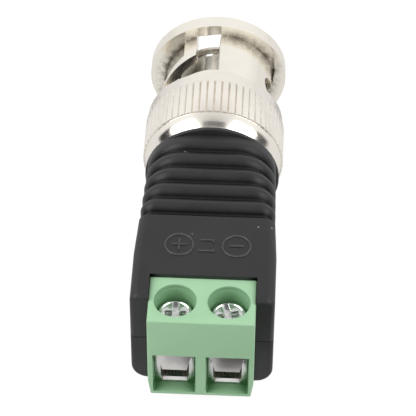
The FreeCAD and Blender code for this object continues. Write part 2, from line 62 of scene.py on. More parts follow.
away = Vector((
    math.sin(camera_azimuth) * math.cos(camera_elevation),
    -math.cos(camera_azimuth) * math.cos(camera_elevation),
    math.sin(camera_elevation),
))
level_right = (-away).cross(Vector((0, 0, 1))).normalized()
level_up = level_right.cross(-away)
right = math.cos(camera_roll) * level_right + math.sin(camera_roll) * level_up
up = math.cos(camera_roll) * level_up - math.sin(camera_roll) * level_right
turn = Matrix((right, up, away)).transposed()
bpy.ops.object.select_all(action="DESELECT")
bpy.ops.object.camera_add(location=camera_aim + camera_distance * away, rotation=turn.to_euler())
camera = bpy.context.object
camera.name = "product_camera"
camera.data.lens = camera_lens
camera.data.sensor_width = 36
camera.data.clip_start = 10 * mm
bpy.context.scene.camera = camera
bpy.context.scene.view_settings.view_transform = "Standard"


# Studio. A white floor under the adapter, a white room, two soft lamps above
# it, and grey or dark cards that give the plated metal something to reflect;
# the two on the floor are painted shade in the terminal's reflections.
floor_z = cad_box[0][2]
floor_size = 3.0
floor_glow, floor_glow_in_gloss = 0.93, 0.65
room_light_strength = 0.44
room_white_strength = 1.14
white_by_height = ((0.0, 0.90), (0.30, 0.98), (0.70, 1.0), (0.86, 0.90), (1.0, 0.62))


def node_tree(material):
    """An emptied node tree with its output node."""
    material.use_nodes = True
    tree = material.node_tree
    tree.nodes.clear()
    return tree, tree.nodes.new("ShaderNodeOutputMaterial")


def feed(tree, entry, term):
    """Links a socket into an input, or sets the input to a number or colour."""
    if isinstance(term, bpy.types.NodeSocket):
        tree.links.new(term, entry)
    else:
        entry.default_value = term


def maths(tree, operation, *terms):
    """The result of a Math node fed with numbers and sockets."""
    step = tree.nodes.new("ShaderNodeMath")
    step.operation = operation
    for entry, term in zip(step.inputs, terms):
        feed(tree, entry, term)
    return step.outputs[0]


def light_and_look(tree, output, light, look):
    """Lights the set with one shader and shows the other to camera, gloss and glass rays."""
    path = tree.nodes.new("ShaderNodeLightPath").outputs
    either = maths(tree, "MAXIMUM", path["Is Camera Ray"], path["Is Glossy Ray"])
    choice = tree.nodes.new("ShaderNodeMixShader")
    tree.links.new(maths(tree, "MAXIMUM", either, path["Is Transmission Ray"]), choice.inputs[0])
    tree.links.new(light.outputs[0], choice.inputs[1])
    tree.links.new(look.outputs[0], choice.inputs[2])
    tree.links.new(choice.outputs[0], output.inputs["Surface"])


bpy.ops.object.select_all(action="DESELECT")
bpy.ops.mesh.primitive_plane_add(size=floor_size, location=(0, 0, floor_z))
floor = bpy.context.object
floor.name = "studio_floor"
studio_white = bpy.data.materials.new("studio_white")
tree, output = node_tree(studio_white)
lit = tree.nodes.new("ShaderNodeBsdfDiffuse")
lit.inputs["Color"].default_value = (0.62, 0.62, 0.62, 1)
faint = tree.nodes.new("ShaderNodeBsdfDiffuse")
faint.inputs["Color"].default_value = (0.16, 0.16, 0.16, 1)
glow = tree.nodes.new("ShaderNodeEmission")
in_gloss = tree.nodes.new("ShaderNodeLightPath").outputs["Is Glossy Ray"]
level = maths(tree, "MULTIPLY_ADD", in_gloss, floor_glow_in_gloss - floor_glow, floor_glow)
tree.links.new(level, glow.inputs["Strength"])
shown = tree.nodes.new("ShaderNodeAddShader")
tree.links.new(faint.outputs[0], shown.inputs[0])
tree.links.new(glow.outputs[0], shown.inputs[1])
light_and_look(tree, output, lit, shown)
floor.data.materials.append(studio_white)

world = bpy.data.worlds.new("white_room")
bpy.context.scene.world = world
world.use_nodes = True
tree = world.node_tree
tree.nodes.clear()
output = tree.nodes.new("ShaderNodeOutputWorld")
room_light = tree.nodes.new("ShaderNodeBackground")
room_light.inputs["Strength"].default_value = room_light_strength
room_white = tree.nodes.new("ShaderNodeBackground")
heading = tree.nodes.new("ShaderNodeTexCoord")
parts = tree.nodes.new("ShaderNodeSeparateXYZ")
tree.links.new(heading.outputs["Generated"], parts.inputs[0])
sky = tree.nodes.new("ShaderNodeFloatCurve")
heights = sky.mapping.curves[0].points
heights[0].location = white_by_height[0]
heights[1].location = white_by_height[-1]
for height, white in white_by_height[1:-1]:
    heights.new(height, white)
tree.links.new(parts.outputs["Z"], sky.inputs["Value"])
brighter = maths(tree, "MULTIPLY", sky.outputs[0], room_white_strength)
tree.links.new(brighter, room_white.inputs["Strength"])
light_and_look(tree, output, room_light, room_white)


def soft_lamp(name, place, aim, size, watts):
    """A square area lamp at a place, turned to its aim."""
    bpy.ops.object.select_all(action="DESELECT")
    facing = (Vector(aim) - Vector(place)).to_track_quat("-Z", "Y").to_euler()
    bpy.ops.object.light_add(type="AREA", location=place, rotation=facing)
    lamp = bpy.context.object
    lamp.name = name
    lamp.data.size = size
    lamp.data.energy = watts
    return lamp


def grey_card(name, place, aim, width, height, strength):
    """A card that only glossy surfaces see, turned to its aim."""
    facing = (Vector(aim) - Vector(place)).to_track_quat("Z", "Y").to_euler()
    bpy.ops.object.select_all(action="DESELECT")
    bpy.ops.mesh.primitive_plane_add(size=1, location=place, rotation=facing)
    card = bpy.context.object
    card.name = name
    card.scale = (width, height, 1)
    card.visible_camera = False
    card.visible_diffuse = False
    card.visible_shadow = False
    card.visible_transmission = False
    paint = bpy.data.materials.new(name)
    tree, output = node_tree(paint)
    shade = tree.nodes.new("ShaderNodeEmission")
    shade.inputs["Strength"].default_value = strength
    tree.links.new(shade.outputs[0], output.inputs["Surface"])
    card.data.materials.append(paint)


middle = (0, -0.018, 0)
soft_lamp("lamp_left", (-0.43, -0.13, 0.40), middle, 0.42, 2.0)
soft_lamp("lamp_right", (0.43, -0.13, 0.40), middle, 0.42, 1.6)
grey_card("card_above", (0, -0.16, 0.52), middle, 0.34, 0.22, 0.14)
grey_card("card_left", (-0.50, -0.04, 0.09), middle, 0.30, 0.24, 0.02)
grey_card("card_right", (0.50, -0.04, 0.09), middle, 0.30, 0.24, 0.02)
# Two grey cards lie on the floor just in front of the terminal, seen only in reflections: painted shade that
# darkens the floor the terminal's front reflects.
card_z = floor_z + 0.3 * mm
for side, x, y, width, height, strength in (
    ("left", -0.0026, -0.0575, 0.0052, 0.025, 0.45), ("right", 0.010, -0.0565, 0.020, 0.026, 0.08),
):
    grey_card("painted_shade_card_" + side, (x, y, card_z), (x, y, 1), width, height, strength)


# Outer contact: a turned brass sleeve, nickel plated, with four long slots
# and a springy closed ring at its tip that meets the socket's barrel.
contact_rear_y = -7.9
contact_r, contact_inner_r = 4.0, 3.6
tip_ring_r, tip_ring_rear_y = 4.25, -0.45
tip_waist_r = 3.8
contact_slots = 4
contact_slot_w, contact_slot_rear_y = 0.75, -4.35
contact_slot_turn = -14.0


def draw_profile(name, points):
    """A new piece in edit mode whose vertices follow the points, all in mm."""
    bpy.ops.object.select_all(action="DESELECT")
    bpy.ops.mesh.primitive_plane_add(size=mm)
    piece = bpy.context.object
    piece.name = piece.data.name = name
    bpy.ops.object.mode_set(mode="EDIT")
    bpy.ops.mesh.select_all(action="SELECT")
    bpy.ops.mesh.merge(type="CENTER")
    last = Vector(points[0]) * mm
    bpy.ops.transform.translate(value=last)
    for point in points[1:]:
        place = Vector(point) * mm
        bpy.ops.mesh.extrude_vertices_move(TRANSFORM_OT_translate={"value": place - last})
        last = place
    return piece


def weld(piece):
    """Closes seams and poles, turns the faces outwards and leaves edit mode."""
    bpy.ops.mesh.select_all(action="SELECT")
    bpy.ops.mesh.remove_doubles(threshold=0.001 * mm)
    bpy.ops.mesh.normals_make_consistent(inside=False)
    bpy.ops.object.mode_set(mode="OBJECT")


def turn_on_lathe(name, profile, steps):
    """A piece turned about the plug's axis from closed (radius, y) corners."""
    points = [(r, y, 0) for r, y in profile]
    piece = draw_profile(name, points + points[:1])
    bpy.ops.mesh.select_all(action="SELECT")
    bpy.ops.mesh.spin(steps=steps, angle=2 * math.pi, center=(0, 0, 0), axis=(0, 1, 0))
    weld(piece)
    return piece


def pick(piece, *others):
    """Selects the pieces alone and makes the first the active one."""
    bpy.ops.object.select_all(action="DESELECT")
    for each in (piece, *others):
        each.select_set(True)
    bpy.context.view_layer.objects.active = piece


def apply_modifier(piece, modifier):
    """Applies one modifier for good."""
    pick(piece)
    bpy.ops.object.modifier_apply(modifier=modifier.name)


def combine(piece, operation, *others):
    """Cuts, trims or joins the piece with the other solids, one after the other."""
    for other in others:
        modifier = piece.modifiers.new("combine", "BOOLEAN")
        modifier.operation = operation
        modifier.solver = "EXACT"
        modifier.object = other
        apply_modifier(piece, modifier)
        bpy.data.objects.remove(other)


def carve(piece, *cutters):
    """Takes the cutters out of the piece."""
    combine(piece, "DIFFERENCE", *cutters)


def ease_edges(piece, width, segments=2, angle=30):
    """Rounds all edges sharper than the angle by a width in mm."""
    modifier = piece.modifiers.new("ease", "BEVEL")
    modifier.width = width * mm
    modifier.segments = segments
    modifier.limit_method = "ANGLE"
    modifier.angle_limit = math.radians(angle)
    modifier.miter_outer = "MITER_ARC"
    apply_modifier(piece, modifier)


def smooth(piece, angle=35):
    """Shades the piece smooth up to an angle between faces."""
    pick(piece)
    bpy.ops.object.shade_smooth_by_angle(angle=math.radians(angle))


def block_cutter(low, high, turn_about_y=0):
    """A box between two corners in mm, turned about the plug's axis."""
    low, high = Vector(low) * mm, Vector(high) * mm
    bpy.ops.object.select_all(action="DESELECT")
    bpy.ops.mesh.primitive_cube_add(size=1, location=(low + high) / 2, scale=high - low)
    cutter = bpy.context.object
    cutter.matrix_world = Matrix.Rotation(math.radians(turn_about_y), 4, "Y") @ cutter.matrix_world
    return cutter


sleeve = turn_on_lathe("outer_contact_sleeve", [
    (contact_inner_r, -0.1), (contact_inner_r + 0.1, 0), (tip_ring_r - 0.12, 0), (tip_ring_r, -0.12),
    (tip_ring_r, tip_ring_rear_y), (tip_waist_r, -0.6), (tip_waist_r, -0.9), (contact_r, -1.0),
    (contact_r, contact_rear_y), (contact_inner_r, contact_rear_y),
], 96)
for index in range(contact_slots):
    carve(sleeve, block_cutter(
        (-contact_slot_w / 2, contact_slot_rear_y, contact_inner_r - 0.4),
        (contact_slot_w / 2, tip_ring_rear_y, tip_ring_r + 0.35),
        contact_slot_turn + 360 / contact_slots * index,
    ))
ease_edges(sleeve, 0.04)
smooth(sleeve)
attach(sleeve, "housing")
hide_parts("outer_contact")


def shared_group(name, entries, results):
    """A new node group, with the sockets inside it that give its entries and take its results."""
    group = bpy.data.node_groups.new(name, "ShaderNodeTree")
    for labels, way in ((entries, "INPUT"), (results, "OUTPUT")):
        for label in labels:
            kind = "NodeSocketColor" if "Colour" in label else "NodeSocketFloat"
            group.interface.new_socket(name=label, in_out=way, socket_type=kind)
    return group, group.nodes.new("NodeGroupInput").outputs, group.nodes.new("NodeGroupOutput").inputs


def noise(tree, scale, detail, roughness):
    """The value of a noise that is fixed to the object."""
    place = tree.nodes.new("ShaderNodeTexCoord")
    cloud = tree.nodes.new("ShaderNodeTexNoise")
    cloud.inputs["Detail"].default_value = detail
    cloud.inputs["Roughness"].default_value = roughness
    feed(tree, cloud.inputs["Scale"], scale)
    tree.links.new(place.outputs["Object"], cloud.inputs["Vector"])
    return cloud.outputs["Fac"]


def ramp(tree, value, low, high, to_low=0.0, to_high=1.0):
    """A value carried from one range to another and held at its ends."""
    carried = tree.nodes.new("ShaderNodeMapRange")
    for label, term in (
        ("Value", value), ("From Min", low), ("From Max", high), ("To Min", to_low), ("To Max", to_high),
    ):
        feed(tree, carried.inputs[label], term)
    return carried.outputs[0]


def blended(tree, share, first, second):
    """A colour that goes from the first to the second as the share goes from 0 to 1."""
    blend = tree.nodes.new("ShaderNodeMix")
    blend.data_type = "RGBA"
    for label, term in (("Factor", share), ("A", first), ("B", second)):
        feed(tree, blend.inputs[label], term)
    return blend.outputs["Result"]


def mottle_group():
    """Two scales of mottling: a colour mix, a roughness and a height."""
    group, given, result = shared_group("mottled_finish", (
        "Colour", "Patch Colour", "Patch Scale", "Patch Share", "Grain Scale", "Rough Low", "Rough High",
    ), ("Colour", "Roughness", "Height"))
    patch = noise(group, given["Patch Scale"], 6, 0.65)
    share = maths(group, "MULTIPLY", ramp(group, patch, 0.42, 0.68), given["Patch Share"])
    rough = ramp(group, patch, 0.3, 0.7, given["Rough Low"], given["Rough High"])
    group.links.new(blended(group, share, given["Colour"], given["Patch Colour"]), result["Colour"])
    group.links.new(rough, result["Roughness"])
    group.links.new(noise(group, given["Grain Scale"], 4, 0.5), result["Height"])
    return group


mottle = mottle_group()
speck_scale = 1100.0
plain_specular = 0.5
# Share of the metal that painted corner shade takes away.
metal_lost_to_shade_and_grime = 0.8
bump_strength = 0.4


def shade_and_grime_cover(tree, reach, even, strength):
    """How much painted shade lies on a spot: ambient occlusion darkens corners, and as far as it isn't even,
    the shade lies only in grime specks.
    """
    corner = tree.nodes.new("ShaderNodeAmbientOcclusion")
    corner.samples = 8
    corner.only_local = True
    corner.inputs["Distance"].default_value = reach * mm
    shut = maths(tree, "MULTIPLY_ADD", corner.outputs["AO"], -strength, strength)
    specks = ramp(tree, noise(tree, speck_scale, 6, 0.75), 0.40, 0.58)
    cover = maths(tree, "MULTIPLY", shut, maths(tree, "MULTIPLY_ADD", specks, 1 - even, even))
    cover.node.use_clamp = True
    return cover


def finish(name, colour, patch_colour, metallic, roughness, patch=(300, 0.3), grain=(4000, 0.02), shade_and_grime=None):
    """A mottled material; the last argument, painted shade in corners that lies partly as grime specks, gives
    its reach in corners, its colour, evenness and strength.
    """
    material = bpy.data.materials.new(name)
    tree, output = node_tree(material)
    shader = tree.nodes.new("ShaderNodeBsdfPrincipled")
    shader.inputs["Metallic"].default_value = metallic
    tree.links.new(shader.outputs[0], output.inputs["Surface"])
    pattern = tree.nodes.new("ShaderNodeGroup")
    pattern.node_tree = mottle
    for label, value in (
        ("Colour", (*colour, 1)), ("Patch Colour", (*patch_colour, 1)), ("Patch Scale", patch[0]),
        ("Patch Share", patch[1]), ("Grain Scale", grain[0]), ("Rough Low", roughness[0]),
        ("Rough High", roughness[1]),
    ):
        pattern.inputs[label].default_value = value
    coat = pattern.outputs["Colour"]
    # Painted shade: ambient occlusion darkens the colour in corners and takes away specular and metal there;
    # where it isn't even, it lies in grime specks.
    if shade_and_grime:
        reach, shade_and_grime_colour, even, strength = shade_and_grime
        cover = shade_and_grime_cover(tree, reach, even, strength)
        coat = blended(tree, cover, coat, (*shade_and_grime_colour, 1))
        gleam = maths(tree, "MULTIPLY_ADD", cover, -plain_specular, plain_specular)
        tree.links.new(gleam, shader.inputs["Specular IOR Level"])
        bare = maths(tree, "MULTIPLY_ADD", cover, -metal_lost_to_shade_and_grime * metallic, metallic)
        tree.links.new(bare, shader.inputs["Metallic"])
    tree.links.new(coat, shader.inputs["Base Color"])
    tree.links.new(pattern.outputs["Roughness"], shader.inputs["Roughness"])
    bump = tree.nodes.new("ShaderNodeBump")
    bump.inputs["Strength"].default_value = bump_strength
    bump.inputs["Distance"].default_value = grain[1] * mm
    tree.links.new(pattern.outputs["Height"], bump.inputs["Height"])
    tree.links.new(bump.outputs[0], shader.inputs["Normal"])
    return material


contact_plating = finish(
    "contact_plating", (0.78, 0.74, 0.68), (0.50, 0.44, 0.36), 1.0, (0.22, 0.36), (350, 0.35),
)
sleeve.data.materials.append(contact_plating)


# Centre contact: a turned pin with a tapered tip, gold flashed, and a solder
# cup at its rear, pressed into the insulator.
pin_r, pin_root_y = 0.675, -5.3
rod_r, cup_r, cup_bore_r = 0.8, 1.15, 0.75
cup_front_y, cup_floor_y, cup_rear_y = -18.0, -18.7, -20.6
cup_cut_y, cup_cut_z = -19.0, 0.1
pin_gold = finish("pin_gold", (0.80, 0.60, 0.28), (0.62, 0.42, 0.18), 1.0, (0.18, 0.30), (600, 0.3))
pin = turn_on_lathe("centre_pin", [
    (0, 0.5), (0.2, 0.5), (0.3, 0.42), (pin_r, 0), (pin_r, pin_root_y), (rod_r, pin_root_y),
    (rod_r, cup_front_y), (cup_r, cup_front_y), (cup_r, cup_rear_y), (cup_bore_r, cup_rear_y),
    (cup_bore_r, cup_floor_y), (0, cup_floor_y),
], 48)
carve(pin, block_cutter(
    (-cup_r - 0.15, cup_rear_y - 0.2, cup_cut_z), (cup_r + 0.15, cup_cut_y, cup_r + 0.15),
))
smooth(pin)
pin.data.materials.append(pin_gold)
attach(pin, "housing")
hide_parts("centre_contact")


# Inner parts that stay as the frame gives them: a moulded insulator, a rubber
# gasket, the turned brass body, and the steel spring, washer and open ring
# that are slipped over its stem.
def dress(node, material):
    """Gives a carried-over node its finish."""
    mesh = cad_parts[node].data
    mesh.materials.clear()
    mesh.materials.append(material)


insulator_white = finish(
    "insulator_white", (0.80, 0.79, 0.74), (0.70, 0.68, 0.62), 0.0, (0.40, 0.55), (500, 0.3),
)
gasket_black = finish(
    "gasket_black", (0.025, 0.025, 0.025), (0.05, 0.05, 0.05), 0.0, (0.55, 0.75), (400, 0.4),
)
turned_brass = finish(
    "turned_brass", (0.70, 0.56, 0.30), (0.52, 0.38, 0.18), 1.0, (0.24, 0.40), (350, 0.35),
)
spring_steel = finish(
    "spring_steel", (0.55, 0.55, 0.56), (0.38, 0.37, 0.36), 1.0, (0.24, 0.42), (350, 0.35),
)
dress("insulator", insulator_white)
dress("gasket", gasket_black)
dress("plug_body", turned_brass)
for node in ("wave_spring", "thrust_washer", "retaining_ring"):
    dress(node, spring_steel)


# Coupling nut: zinc alloy, nickel plated. A mouth flange, a neck with two
# helical stud paths that end in round detents, a knurled grip and a cone.
bore_r = 4.95
mouth_r = 7.2
neck_r = 5.9
lip_r = 7.05
knurl_r = 7.22
cone_tip_r, rear_bore_r, stem_bore_r = 6.4, 5.7, 4.06
knurl_depth = 0.16
flutes, flute_half_turn = 60, 0.3
mouth_y, mouth_rear_y = 1.5, -0.15
lip_y, knurl_y, band_y, cone_y, nut_rear_y = -7.1, -8.4, -12.9, -13.45, -14.6
web_y, web_rear_y = -9.42, -11.02
entry_turn, entry_w, entry_end = -10.0, 2.55, -5.45
knee_sweep, ramp_sweep, detent_sweep = 55.0, 92.0, 100.0
ramp_front_y, ramp_rear_y = -4.35, -6.4
detent_r, detent_y = 1.15, -3.85
slot_floor_r = 4.35
slot_reach_r = neck_r + 0.3
relief_r, relief_start = 5.5, 27.0
sweep_step = 2.5
ramp_path = [(0, -2.4, entry_end), (knee_sweep, -4.0, -6.1), (ramp_sweep, ramp_front_y, ramp_rear_y)]
relief_path = [
    (relief_start, mouth_rear_y, -2.14), (knee_sweep, mouth_rear_y, -3.5), (ramp_sweep, mouth_rear_y, -3.85),
]


def radial_cutter(r, y, degrees, low_r, high_r):
    """A round bar across the wall, pointing away from the plug's axis."""
    angle = math.radians(degrees)
    outward = Vector((math.sin(angle), 0, math.cos(angle)))
    bpy.ops.object.select_all(action="DESELECT")
    bpy.ops.mesh.primitive_cylinder_add(
        vertices=48, radius=r * mm, depth=(high_r - low_r) * mm, rotation=(0, angle, 0),
        location=(outward * (low_r + high_r) / 2 + Vector((0, y, 0))) * mm,
    )
    return bpy.context.object


def helical_cutter(first, stations, low_r, high_r):
    """A cutter swept round the plug's axis through (degrees, front y, rear y) stations."""
    sweep, ahead, behind = stations[0]
    bpy.ops.object.select_all(action="DESELECT")
    bpy.ops.mesh.primitive_plane_add(size=1)
    cutter = bpy.context.object
    bpy.ops.object.mode_set(mode="EDIT")
    bpy.ops.mesh.select_all(action="SELECT")
    bpy.ops.transform.rotate(value=math.pi / 2, orient_axis="Y", center_override=(0, 0, 0))
    high = ahead - behind
    bpy.ops.transform.resize(value=(1, high * mm, (high_r - low_r) * mm), center_override=(0, 0, 0))
    y = (ahead + behind) / 2 * mm
    bpy.ops.transform.translate(value=(0, y, (high_r + low_r) / 2 * mm))
    for next_sweep, next_ahead, next_behind in stations[1:]:
        count = round((next_sweep - sweep) / sweep_step)
        turn = math.radians((next_sweep - sweep) / count)
        for index in range(1, count + 1):
            front = ahead + (next_ahead - ahead) * index / count
            rear = behind + (next_behind - behind) * index / count
            next_y = (front + rear) / 2 * mm
            bpy.ops.mesh.extrude_region_move(TRANSFORM_OT_translate={"value": (0, next_y - y, 0)})
            y = next_y
            bpy.ops.transform.resize(value=(1, (front - rear) / high, 1), center_override=(0, y, 0))
            high = front - rear
            bpy.ops.transform.rotate(value=turn, orient_axis="Y", center_override=(0, 0, 0))
        sweep, ahead, behind = next_sweep, next_ahead, next_behind
    weld(cutter)
    cutter.matrix_world = Matrix.Rotation(math.radians(first), 4, "Y") @ cutter.matrix_world
    return cutter


front_half = turn_on_lathe("bayonet_nut", [
    (bore_r + 0.15, mouth_y), (mouth_r - 0.12, mouth_y), (mouth_r, mouth_y - 0.12), (mouth_r, mouth_rear_y),
    (neck_r, mouth_rear_y), (neck_r, lip_y - 0.3), (bore_r, lip_y - 0.3), (bore_r, mouth_y - 0.15),
], 144)
for half in (0, 180):
    entry = entry_turn + half
    carve(
        front_half,
        block_cutter(
            (-entry_w / 2, entry_end, slot_floor_r), (entry_w / 2, mouth_y + 1, neck_r + 0.06), entry,
        ),
        helical_cutter(entry, ramp_path, slot_floor_r, slot_reach_r),
        helical_cutter(entry - relief_start, relief_path, relief_r, slot_reach_r),
        radial_cutter(
            (ramp_front_y - ramp_rear_y) / 2, (ramp_front_y + ramp_rear_y) / 2, entry - ramp_sweep,
            slot_floor_r, slot_reach_r,
        ),
        radial_cutter(detent_r, detent_y, entry - detent_sweep, slot_floor_r, slot_reach_r),
    )
ease_edges(front_half, 0.07)

grip = turn_on_lathe("nut_grip", [
    (bore_r, lip_y), (lip_r, lip_y), (lip_r, knurl_y), (knurl_r, knurl_y), (knurl_r, band_y),
    (lip_r, band_y), (lip_r, cone_y), (cone_tip_r, nut_rear_y), (rear_bore_r, nut_rear_y),
    (rear_bore_r, web_rear_y), (stem_bore_r, web_rear_y), (stem_bore_r, web_y), (bore_r, web_y),
], 360)
bpy.ops.object.mode_set(mode="EDIT")
bpy.ops.mesh.select_all(action="DESELECT")
bpy.ops.object.mode_set(mode="OBJECT")
for vertex in grip.data.vertices:
    x, y, z = vertex.co / mm
    degrees = math.degrees(math.atan2(x, z))
    flute = 360 / flutes
    off = abs((degrees + flute / 2) % flute - flute / 2)
    vertex.select = off < flute_half_turn and math.hypot(x, z) > (lip_r + knurl_r) / 2
bpy.ops.object.mode_set(mode="EDIT")
shrink = (knurl_r - knurl_depth) / knurl_r
bpy.ops.transform.resize(value=(shrink, 1, shrink), center_override=(0, 0, 0))
bpy.ops.object.mode_set(mode="OBJECT")
ease_edges(grip, 0.05)

# The nut's plating carries painted shade under the flange and in the slots, broken into brownish grime
# specks.
nut_plating = finish(
    "nut_plating", (0.97, 0.93, 0.84), (0.84, 0.78, 0.67), 1.0, (0.09, 0.24), (260, 0.25), (3000, 0.012),
    (1.4, (0.22, 0.18, 0.13), 0.18, 2.2),
)
# The grip's plating carries a weaker painted shade, in the knurl's flutes and on the slot walls.
grip_plating = finish(
    "grip_plating", (0.98, 0.93, 0.85), (0.88, 0.82, 0.72), 1.0, (0.12, 0.26), (260, 0.25), (3000, 0.012),
    (0.3, (0.30, 0.25, 0.19), 0.5, 0.8),
)


def valley_group():
    """Paints shade on a colour below a radius from the plug's axis, deeper in being darker."""
    group, given, result = shared_group(
        "valley_painted_shade", ("Colour", "Land Radius", "Floor Radius", "Floor Shade"), ("Colour",),
    )
    place = group.nodes.new("ShaderNodeTexCoord")
    flat = group.nodes.new("ShaderNodeVectorMath")
    flat.operation = "MULTIPLY"
    flat.inputs[1].default_value = (1, 0, 1)
    group.links.new(place.outputs["Object"], flat.inputs[0])
    radius = group.nodes.new("ShaderNodeVectorMath")
    radius.operation = "LENGTH"
    group.links.new(flat.outputs["Vector"], radius.inputs[0])
    dim = group.nodes.new("ShaderNodeVectorMath")
    dim.operation = "SCALE"
    group.links.new(given["Colour"], dim.inputs[0])
    shade = ramp(
        group, radius.outputs["Value"], given["Floor Radius"], given["Land Radius"], given["Floor Shade"],
    )
    group.links.new(shade, dim.inputs["Scale"])
    group.links.new(dim.outputs["Vector"], result["Colour"])
    return group


def recolour(material, group):
    """Passes a material's colour through a node group and gives that group's inputs."""
    tree = material.node_tree
    coat = next(node for node in tree.nodes if node.type == "BSDF_PRINCIPLED").inputs["Base Color"]
    layer = tree.nodes.new("ShaderNodeGroup")
    layer.node_tree = group
    tree.links.new(coat.links[0].from_socket, layer.inputs["Colour"])
    tree.links.new(layer.outputs["Colour"], coat)
    return layer.inputs


# Painted shade on the nut's recessed neck, darker down towards the slot floors.
valley = recolour(nut_plating, valley_group())
valley["Land Radius"].default_value = (neck_r - 0.03) * mm
valley["Floor Radius"].default_value = relief_r * mm
valley["Floor Shade"].default_value = 0.55
front_half.data.materials.append(nut_plating)
grip.data.materials.append(grip_plating)

pick(front_half, grip)
bpy.ops.object.join()
nut = front_half
smooth(nut)
# Painted light: the walls of the stud paths take the grip's plating, whose painted shade is weaker, so they
# read lighter than the neck around them.
slot_wall_low, slot_wall_high, slot_wall_rear_y = 5.05, 5.8, -6.6
wall_slant = 0.5
for face in nut.data.polygons:
    spot = face.center / mm
    radius = math.hypot(spot.x, spot.z)
    outward = (face.normal.x * spot.x + face.normal.z * spot.z) / radius
    in_slot = slot_wall_low < radius < slot_wall_high and slot_wall_rear_y < spot.y < mouth_y
    if in_slot and abs(outward) < wall_slant:
        face.material_index = 1
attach(nut, "nut")
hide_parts("coupling_nut")


# Contact bars: a tinned strip under each screw. Its front is bent up into a
# guard that keeps the wire inside the cage, and its tail is soldered behind.
poles = {"left": -2.54, "right": 2.54}
bar_half_w, bar_low, bar_top = 1.2, -2.1, -1.6
guard_half_w, guard_y, guard_top = 1.8, -39.3, 1.1
bar_t = 0.5
tail_half_w, tail_root_y, tail_tip_y = 0.5, -35.1, -30.55
trim_half_w, trim_rear_y, trim_low, trim_high = 3, -30, -3, 0
# The tin carries painted shade, near black, in the bar's own corners by its guard, half in specks.
bar_tin = finish(
    "bar_tin", (0.74, 0.72, 0.70), (0.52, 0.50, 0.48), 1.0, (0.22, 0.38), (450, 0.3), (4000, 0.02),
    (0.9, (0.05, 0.05, 0.045), 0.5, 1.0),
)


def slide_prism(name, corners, direction, low, high):
    """A straight piece or cutter with an outline across X or Y, in mm."""
    if direction == "X":
        points = [(low, a, b) for a, b in corners]
        step = Vector((high - low, 0, 0)) * mm
    else:
        points = [(a, low, b) for a, b in corners]
        step = Vector((0, high - low, 0)) * mm
    piece = draw_profile(name, points + points[:1])
    bpy.ops.mesh.select_all(action="SELECT")
    bpy.ops.mesh.remove_doubles(threshold=0.001 * mm)
    bpy.ops.mesh.edge_face_add()
    bpy.ops.mesh.extrude_region_move(TRANSFORM_OT_translate={"value": step})
    weld(piece)
    return piece


def contact_bar(side):
    """One strip, bent from a flat blank."""
    x = poles[side]
    outline = [
        (tail_tip_y, bar_low), (guard_y + 0.12, bar_low), (guard_y, bar_low + 0.12), (guard_y, guard_top),
        (guard_y + bar_t, guard_top), (guard_y + bar_t, bar_top), (tail_tip_y, bar_top),
    ]
    bar = slide_prism("contact_bar_" + side + "_strip", outline, "X", x - 2, x + 2)
    blank = slide_prism("blank", [
        (x - bar_half_w, bar_low - 1), (x + bar_half_w, bar_low - 1), (x + bar_half_w, bar_low + 0.2),
        (x + guard_half_w, guard_top + 0.01), (x - guard_half_w, guard_top + 0.01),
        (x - bar_half_w, bar_low + 0.2),
    ], "Y", guard_y - 1, tail_tip_y + 1)
    combine(bar, "INTERSECT", blank)
    for sign in (-1, 1):
        for half_w, front_y in ((tail_half_w, tail_root_y), (bar_half_w, guard_y + bar_t)):
            near, far = sorted((x + sign * half_w, x + sign * trim_half_w))
            carve(bar, block_cutter((near, front_y, trim_low), (far, trim_rear_y, trim_high)))
    ease_edges(bar, 0.05)
    smooth(bar)
    bar.data.materials.append(bar_tin)
    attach(bar, "housing")
    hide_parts("contact_bar_" + side)


# Clamp cages: zinc-plated steel folded into a loop with a tapped top. The
# screw draws the cage up, and its toothed floor presses the wire on the bar.
cage_half_w, cage_floor_half_w, cage_wall = 1.9, 1.2, 0.55
cage_front_y, cage_rear_y = -38.62, -35.32
cage_low, cage_floor, cage_roof, cage_top = -4.58, -4.08, -1.5, -0.5
cage_side_low = -3.73
bend_in, bend_step = 0.2, 0.06
teeth_each_side, tooth_pitch, tooth_half_w, tooth_depth = 3, 0.33, 0.13, 0.12
tooth_set_back, sheared = 0.45, 0.34
past = 0.1
# The zinc carries brownish painted shade in the cage's inner corners, mostly even, a little in specks.
cage_zinc = finish(
    "cage_zinc", (0.75, 0.75, 0.74), (0.58, 0.57, 0.55), 1.0, (0.18, 0.34), (420, 0.3), (4000, 0.02),
    (1.2, (0.30, 0.25, 0.19), 0.8, 2.0),
)
well_y = -37.0
screw_hole_r = 1.27


def upright_cutter(x, r, low, high):
    """A round cutter that stands on its pole's screw axis."""
    bpy.ops.object.select_all(action="DESELECT")
    bpy.ops.mesh.primitive_cylinder_add(
        vertices=64, radius=r * mm, depth=(high - low) * mm,
        location=Vector((x, well_y, (low + high) / 2)) * mm,
    )
    return bpy.context.object


